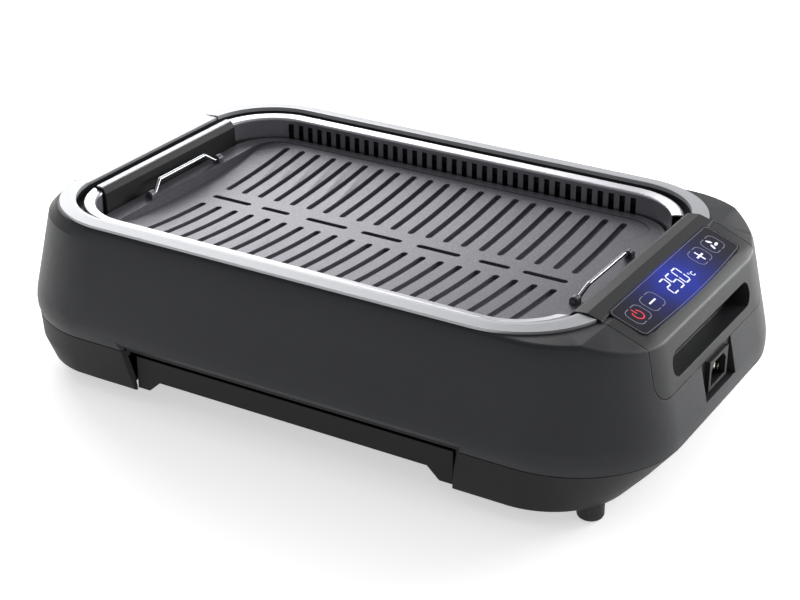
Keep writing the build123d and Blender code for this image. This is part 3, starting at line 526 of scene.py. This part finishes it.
def leave_line(line):
    """Empties the flat shape in edit mode but for a line along its edge, and leaves edit mode."""
    bpy.ops.mesh.select_mode(type="FACE")
    bpy.ops.mesh.select_all(action="SELECT")
    bpy.ops.mesh.inset(thickness=line, depth=0.0)
    bpy.ops.mesh.delete(type="FACE")
    bpy.ops.object.mode_set(mode="OBJECT")


def drop_faces(item, unwanted):
    """Deletes the faces whose middle the rule picks."""
    for face in item.data.polygons:
        face.select = unwanted(face.center)
    select_only(item)
    bpy.ops.object.mode_set(mode="EDIT")
    bpy.ops.mesh.select_mode(type="FACE")
    bpy.ops.mesh.delete(type="FACE")
    bpy.ops.object.mode_set(mode="OBJECT")
    return item


def split_at(item, spot, normal):
    """Cuts every face along a plane and keeps both sides."""
    edit_all(item)
    bpy.ops.mesh.bisect(plane_co=spot, plane_no=normal)
    bpy.ops.object.mode_set(mode="OBJECT")


def shift(item, x, y, turn=0.0, lean=0.0):
    """Leans, turns and moves a flat shape within its sheet."""
    slant = Matrix.Identity(4)
    slant[0][1] = math.tan(lean)
    item.data.transform(Matrix.Translation((x, y, 0)) @ Matrix.Rotation(turn, 4, "Z") @ slant)
    return item


def join(name, items):
    """Joins shapes into the first one."""
    select_only(*items)
    bpy.ops.object.join()
    return new_shape(name)


def bar(name, width, height, x=0.0, y=0.0, pointed=0.0):
    """Flat bar, with square ends or pointed ones."""
    sheet = flat_sheet(name, width, height)
    if pointed:
        edit_all(sheet)
        bpy.ops.mesh.bevel(affect="VERTICES", offset=pointed, segments=1)
        bpy.ops.object.mode_set(mode="OBJECT")
    return shift(sheet, x, y)


def gapped_outline(name, keys):
    """Rounded key outline that is open in the middle of its top and its bottom."""
    sheet = flat_sheet(name, keys.key_width, keys.key_height)
    edit_all(sheet)
    bpy.ops.mesh.bevel(affect="VERTICES", offset=keys.key_round, segments=CORNER_SEGMENTS)
    leave_line(keys.line)
    for side in (-1, 1):
        split_at(sheet, (side * keys.key_gap / 2, 0, 0), (1, 0, 0))
    return drop_faces(sheet, lambda middle: abs(middle.x) < keys.key_gap / 2)


def ring(name, radius, line, opening=0.0, towards=0.0):
    """Flat ring, or an arc that is open by an angle round a direction."""
    made = disc(name, radius, RING_POINTS)
    edit_all(made)
    leave_line(line)
    if opening:
        way = Vector((math.cos(towards), math.sin(towards), 0))
        drop_faces(made, lambda middle: middle.angle(way) < opening / 2)
    return made


def leaf(name, turn):
    """One blade of the fan sign: an oval set off the middle, with a twist, and turned round it."""
    made = sized(disc(name, 1.0, LEAF_POINTS), BLADE_LONG * MM, BLADE_WIDE * MM)
    shift(made, BLADE_REACH * MM, 0.0, turn=BLADE_TWIST)
    return shift(made, 0.0, 0.0, turn=turn)


def onto_panel(item, across, up, raised=PRINT_RAISED, thick=PRINT_THICK):
    """Thickens a flat shape and lays it on the module's top, its own top raised, in millimetres."""
    select_only(item)
    solid = item.modifiers.new("Thickness", "SOLIDIFY")
    solid.thickness = thick * MM
    solid.offset = -1.0
    bpy.ops.object.modifier_apply(modifier=solid.name)
    spot = PANEL_SPOT + PANEL_ACROSS * across + PANEL_UP * up + PANEL_NORMAL * raised * MM
    turn = Matrix((PANEL_ACROSS, PANEL_UP, PANEL_NORMAL)).transposed().to_4x4()
    item.data.transform(Matrix.Translation(spot) @ turn)
    edit_all(item)
    bpy.ops.mesh.normals_make_consistent(inside=False)
    bpy.ops.object.mode_set(mode="OBJECT")
    return item


def level_outline(levels, height):
    """Outline at a height, between the two levels round it."""
    for (low_z, low), (high_z, high) in zip(levels, levels[1:]):
        if height <= high_z or high_z == levels[-1][0]:
            share = min(1.0, max(0.0, (height - low_z) / (high_z - low_z)))
            return [a + (b - a) * share for a, b in zip(low, high)]


def onto_outline(x, y, size):
    """Nearest point of a rounded outline, and how far the point lies inside it."""
    low, high, half, radius = size
    core_x = min(max(x, low + radius), high - radius)
    core_y = min(max(y, radius - half), half - radius)
    away = Vector((x - core_x, y - core_y))
    if away.length < ON_CORE:
        return None, SKIN_DEPTH
    spot = Vector((core_x, core_y)) + away.normalized() * radius
    return spot, radius - away.length


def reshape(node, name, frame_levels, real_levels, body):
    """Copy of a CAD shell with merged points whose outer skin is moved onto the real outlines."""
    shell = bpy.data.objects.new(name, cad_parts[node].data.copy())
    shell.data.name = name
    bpy.context.scene.collection.objects.link(shell)
    edit_all(shell)
    bpy.ops.mesh.remove_doubles(threshold=MERGE_DISTANCE * MM)
    bpy.ops.object.mode_set(mode="OBJECT")
    for height, _ in real_levels[1:-1]:
        split_at(shell, (0, 0, height * MM), (0, 0, 1))
    bpy.ops.mesh.customdata_custom_splitnormals_clear()
    for point in shell.data.vertices:
        x, y, z = point.co / MM
        spot, depth = onto_outline(x, y, level_outline(frame_levels, z))
        target, _ = onto_outline(x, y, level_outline(real_levels, z))
        if spot is None or target is None or depth >= SKIN_DEPTH:
            continue
        share = min(1.0, 1.0 - max(0.0, depth) / SKIN_DEPTH)
        move = (target - spot) * share
        point.co.x += move.x * MM
        point.co.y += move.y * MM
    select_only(shell)
    bpy.ops.object.shade_smooth_by_angle(angle=SMOOTH_ANGLE)
    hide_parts(node)
    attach(shell, body)


class GRILL_OT_stage(bpy.types.Operator):
    """Floor, soft lights and the camera at the photograph's angle"""

    bl_idname = "grill.stage"
    bl_label = "Stage and camera"

    def execute(self, context):
        stage = context.scene.grill_stage
        self.camera(context.scene)
        self.floor(stage)
        self.surround(context.scene, stage)
        self.soft_light("key", *KEY_LIGHT, stage.key_power)
        self.soft_light("end", *END_LIGHT, stage.end_power)
        context.scene.view_settings.view_transform = "Standard"
        return {"FINISHED"}

    def camera(self, scene):
        """Camera where the photograph was taken from."""
        camera = bpy.data.objects.new("camera", bpy.data.cameras.new("camera"))
        scene.collection.objects.link(camera)
        camera.data.sensor_width = SENSOR
        camera.data.lens = FOCAL_PIXELS / PHOTO_WIDTH * SENSOR
        camera.data.clip_start = CAMERA_NEAR
        camera.data.clip_end = CAMERA_FAR
        camera.location = CAMERA_SPOT
        tilt = math.radians(90 - CAMERA_ELEVATION)
        camera.rotation_euler = (tilt, 0.0, math.radians(CAMERA_AZIMUTH))
        scene.camera = camera

    def floor(self, stage):
        """Seamless white paper that gives off a little light."""
        deselect()
        bpy.ops.mesh.primitive_plane_add(size=FLOOR_WIDTH, location=(0, 0, 0))
        floor = bpy.context.active_object
        floor.name = "floor"
        made, tree, shader, where = material("seamless paper, matte")
        fibre = noise(tree, where, 3.0, 2.0)
        feed(tree, shader, mix(tree, fibre, rgba(stage.floor, 0.98), rgba(stage.floor)))
        settle(shader, {"Roughness": 0.9, "Specular IOR Level": 0.1,
                        "Emission Color": WHITE, "Emission Strength": stage.floor_glow})
        floor.data.materials.append(made)

    def surround(self, scene, stage):
        """White surround, brighter behind the object than before it."""
        world = bpy.data.worlds.new("studio")
        world.use_nodes = True
        tree = world.node_tree
        around = add(tree, "ShaderNodeTexCoord").outputs["Generated"]
        depth = add(tree, "ShaderNodeSeparateXYZ", i0=around).outputs["Y"]
        level = ramp(tree, depth, SURROUND_FROM, SURROUND_TO, stage.surround_front, stage.surround)
        tree.nodes["Background"].inputs[0].default_value = WHITE
        tree.links.new(level, tree.nodes["Background"].inputs[1])
        scene.world = world

    def soft_light(self, name, spot, target, width, height, power):
        """Rectangular soft box that looks at a target."""
        data = bpy.data.lights.new(name, "AREA")
        data.shape = "RECTANGLE"
        data.size = width
        data.size_y = height
        data.energy = power
        lamp = bpy.data.objects.new(name, data)
        bpy.context.scene.collection.objects.link(lamp)
        lamp.location = spot
        lamp.rotation_mode = "QUATERNION"
        lamp.rotation_quaternion = (Vector(spot) - Vector(target)).to_track_quat("Z", "Y")


class GRILL_OT_plastics(bpy.types.Operator):
    """Housing, base, module and their hidden plastic pieces"""

    bl_idname = "grill.plastics"
    bl_label = "Plastic shells"

    def execute(self, context):
        finish = context.scene.grill_finishes
        dress(moulded_plastic("ABS moulded, satin graphite", finish.housing,
                              grain_mm=0.8, rough=0.42, grain_depth=0.04), "upper_housing")
        dress(moulded_plastic("ABS moulded, matte black", finish.base,
                              grain_mm=0.8, rough=0.5, grain_depth=0.05),
              "lower_base", "tray_front", "water_tray", "tray_rails")
        dress(moulded_plastic("ABS moulded, satin black", finish.module,
                              grain_mm=0.8, rough=0.4, grain_depth=0.04), "module_cover")
        reshape("upper_housing", "housing_shell", FRAME_WALLS, REAL_WALLS, "housing")
        reshape("lower_base", "base_shell", FRAME_BASE, REAL_BASE, "housing")
        reshape("module_cover", "module_shell", FRAME_WALLS, REAL_WALLS, "module")
        dress(moulded_plastic("Glass-filled nylon moulded, black", srgb("#1b1b1c"),
                              grain_mm=1.0, rough=0.5, grain_depth=0.05),
              "left_end_block", "inlet_socket", "module_plug")
        dress(moulded_plastic("PBT moulded, dull black", srgb("#202021"),
                              grain_mm=1.2, rough=0.6, grain_depth=0.05),
              "module_case", "fan_scroll", "fan_guard", "fan_impeller", "display_unit")
        return {"FINISHED"}


class GRILL_OT_metals(bpy.types.Operator):
    """Rim, splash guards, wire handles, heater, funnel, screws, and what they sit in"""

    bl_idname = "grill.metals"
    bl_label = "Metal pieces"

    def execute(self, context):
        finish = context.scene.grill_finishes
        dress(silver_paint("ABS silver painted, satin", finish.trim),
              "trim_front", "trim_rear", "end_strip_outer", "end_strip_inner")
        dress(polished_steel("Stainless steel sheet, polished", finish.steel, rough=0.36),
              "splash_guard_front", "splash_guard_rear")
        dress(polished_steel("Aluminised steel sheet, pressed", srgb("#8c8d8f"),
                             rough=0.38, brushed=0.2), "drip_funnel", "element_clips", "fan_motor")
        dress(chrome_wire("Steel wire, chrome plated"), "handle_left", "handle_right")
        dress(element_sheath("Nickel alloy sheath, heat oxidised"),
              "heating_element", "plate_sensor")
        dress(polished_steel("Carbon steel, zinc plated", srgb("#a9abad"), rough=0.3, brushed=0.1),
              "base_screws", "fan_shaft")
        dress(polished_steel("Brass, nickel plated", srgb("#c9c3b4"), rough=0.2), "inlet_pins")
        dress(ceramic("Steatite ceramic, fired"), "element_terminals")
        dress(circuit_laminate("Glass-fibre laminate, green mask"), "circuit_board")
        dress(rubber("Rubber, moulded black", srgb("#1c1c1d")), "feet")
        return {"FINISHED"}


class GRILL_OT_plate(bpy.types.Operator):
    """Speckled coating of the cooking plate"""

    bl_idname = "grill.plate"
    bl_label = "Cooking plate"

    def execute(self, context):
        coating = context.scene.grill_finishes.plate
        dress(speckled_coating("Cast aluminium, speckled non-stick", coating), "grill_plate")
        return {"FINISHED"}


def digit(name, figure, keys):
    """Seven-stroke digit, leaning, from bars with pointed ends."""
    wide = keys.digit_width / 2 - keys.stroke / 2
    high = keys.digit_height / 2 - keys.stroke / 2
    across = (keys.digit_width - keys.stroke * ACROSS_CUT, keys.stroke)
    along = (keys.stroke, keys.digit_height / 2 - keys.stroke * ALONG_CUT)
    strokes = {
        "a": (across, 0.0, high), "g": (across, 0.0, 0.0), "d": (across, 0.0, -high),
        "b": (along, wide, high / 2), "c": (along, wide, -high / 2),
        "f": (along, -wide, high / 2), "e": (along, -wide, -high / 2),
    }
    bars = []
    for letter in DIGIT_STROKES[figure]:
        size, x, y = strokes[letter]
        bars.append(bar(name, size[0], size[1], x, y, keys.stroke * STROKE_POINT))
    return shift(join(name, bars), 0.0, 0.0, lean=keys.digit_slant)


def key_sign(sign, keys):
    """Flat sign in the middle of a key."""
    name = "sign_" + sign
    if sign == "power":
        loop = ring(name, POWER_RADIUS * MM, keys.sign_line, POWER_OPENING, UPWARDS)
        upright = bar(name, keys.sign_line, POWER_BAR * MM, 0.0, POWER_BAR_UP * MM)
        return join(name, [loop, upright])
    if sign == "minus":
        return bar(name, SIGN_WIDTH * MM, MINUS_STROKE * MM)
    if sign == "plus":
        arm = PLUS_ARM * MM
        stroke = PLUS_STROKE * MM
        upright = [bar(name, stroke, arm, 0.0, side * (arm + stroke) / 2) for side in (-1, 1)]
        return join(name, [bar(name, SIGN_WIDTH * MM, stroke)] + upright)
    turns = [math.radians(90 + 360 / BLADE_COUNT * step) for step in range(BLADE_COUNT)]
    return join(name, [leaf(name, turn) for turn in turns])


def millimetres(pair):
    """Two lengths given in millimetres, in metres."""
    return pair[0] * MM, pair[1] * MM


def degree_sign():
    """Small ring and the letter of the scale, an arc that is open to the right."""
    name = "degree_sign"
    small = ring(name, *millimetres(DEGREE_RING))
    shift(small, *millimetres(DEGREE_RING_SPOT))
    letter = ring(name, *millimetres(DEGREE_LETTER), DEGREE_LETTER_OPENING)
    shift(letter, *millimetres(DEGREE_LETTER_SPOT))
    return join(name, [small, letter])


class GRILL_OT_panel(bpy.types.Operator):
    """Backlit glass of the touch panel with its keys, digits and degree sign"""

    bl_idname = "grill.panel"
    bl_label = "Touch panel"

    def execute(self, context):
        keys = context.scene.grill_keys
        finish = context.scene.grill_finishes
        self.put(self.glass(keys), lit_glass("Glass, printed and backlit", finish.glow), True)
        white = lit_print("Print, lit white", finish.keys, LIT)
        red = lit_print("Print, lit red", finish.power, LIT)
        grey = lit_print("Print, pale line", finish.line, PALE)
        self.put(self.edge_line(keys), lit_print("Print, dim line", finish.line, DIM))
        for sign, across, up in KEY_PLACES:
            loop = gapped_outline("key_" + sign, keys)
            self.put(onto_panel(loop, across * MM, up * MM), grey)
            glow = red if sign == "power" else white
            self.put(onto_panel(key_sign(sign, keys), across * MM, up * MM), glow)
        for place, figure in enumerate(FIGURES):
            made = digit("digit_" + str(place + 1), figure, keys)
            across = FIGURES_ACROSS * MM + (place - 1) * keys.digit_pitch
            self.put(onto_panel(made, across, FIGURES_UP * MM), white)
        self.put(onto_panel(degree_sign(), *millimetres(DEGREE_SPOT)), white)
        return {"FINISHED"}

    def put(self, made, glow, stands_in=False):
        """Gives a piece of the panel its finish and lets it ride on the module."""
        made.data.materials.clear()
        made.data.materials.append(glow)
        if stands_in:
            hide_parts("touch_panel")
        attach(made, "module")

    def glass_outline(self, name, keys, inset):
        """Rounded sheet whose outer edge bulges."""
        width = keys.glass_length - 2 * inset
        top = keys.glass_top - inset
        foot = keys.glass_foot - inset
        sheet = flat_sheet(name, width, top + foot)
        shift(sheet, 0.0, (top - foot) / 2)
        for step in range(1 - GLASS_STRIPS // 2, GLASS_STRIPS // 2):
            split_at(sheet, (step * width / GLASS_STRIPS, 0, 0), (1, 0, 0))
        for point in sheet.data.vertices:
            if point.co.y < 0 and abs(point.co.x) < width / 2 - keys.glass_round / 2:
                point.co.y -= keys.glass_bulge * (1 - (2 * point.co.x / width) ** 2)
        select_only(sheet)
        for point in sheet.data.vertices:
            point.select = abs(point.co.x) > width / 2 - GLASS_CORNER_BAND * MM
        bpy.ops.object.mode_set(mode="EDIT")
        bpy.ops.mesh.select_mode(type="VERT")
        corner = keys.glass_round - inset
        bpy.ops.mesh.bevel(affect="VERTICES", offset=corner, segments=CORNER_SEGMENTS)
        bpy.ops.object.mode_set(mode="OBJECT")
        return sheet

    def glass(self, keys):
        """Pane of the touch panel."""
        sheet = self.glass_outline("panel_glass", keys, 0.0)
        return onto_panel(sheet, 0.0, 0.0, keys.glass_proud / MM, GLASS_THICK)

    def edge_line(self, keys):
        """Thin light line printed just inside the glass's edge."""
        sheet = self.glass_outline("panel_line", keys, EDGE_LINE_INSET * MM)
        edit_all(sheet)
        leave_line(EDGE_LINE_WIDTH * MM)
        raised = keys.glass_proud / MM + EDGE_LINE_RAISED
        return onto_panel(sheet, 0.0, 0.0, raised, EDGE_LINE_RAISED)


class GRILL_PT_sidebar(bpy.types.Panel):
    """Every setting, and a button for every step"""

    bl_label = "Smokeless Grill"
    bl_idname = "GRILL_PT_sidebar"
    bl_space_type = "VIEW_3D"
    bl_region_type = "UI"
    bl_category = "Grill"

    def draw(self, context):
        scene = context.scene
        layout = self.layout
        for group in (scene.grill_finishes, scene.grill_keys, scene.grill_stage):
            box = layout.box()
            for name in group.__annotations__:
                box.prop(group, name)
        for operator in OPERATORS:
            layout.operator(operator.bl_idname)


OPERATORS = (GRILL_OT_stage, GRILL_OT_plastics, GRILL_OT_metals, GRILL_OT_plate, GRILL_OT_panel)
CLASSES = (GrillFinishes, GrillKeys, GrillStage) + OPERATORS + (GRILL_PT_sidebar,)


def register():
    for item in CLASSES:
        bpy.utils.register_class(item)
    bpy.types.Scene.grill_finishes = bpy.props.PointerProperty(type=GrillFinishes)
    bpy.types.Scene.grill_keys = bpy.props.PointerProperty(type=GrillKeys)
    bpy.types.Scene.grill_stage = bpy.props.PointerProperty(type=GrillStage)


def unregister():
    del bpy.types.Scene.grill_finishes
    del bpy.types.Scene.grill_keys
    del bpy.types.Scene.grill_stage
    for item in reversed(CLASSES):
        bpy.utils.unregister_class(item)


def main():
    register()
    for operator in OPERATORS:
        group, name = operator.bl_idname.split(".")
        getattr(getattr(bpy.ops, group), name)()


if __name__ == "__main__":
    main()
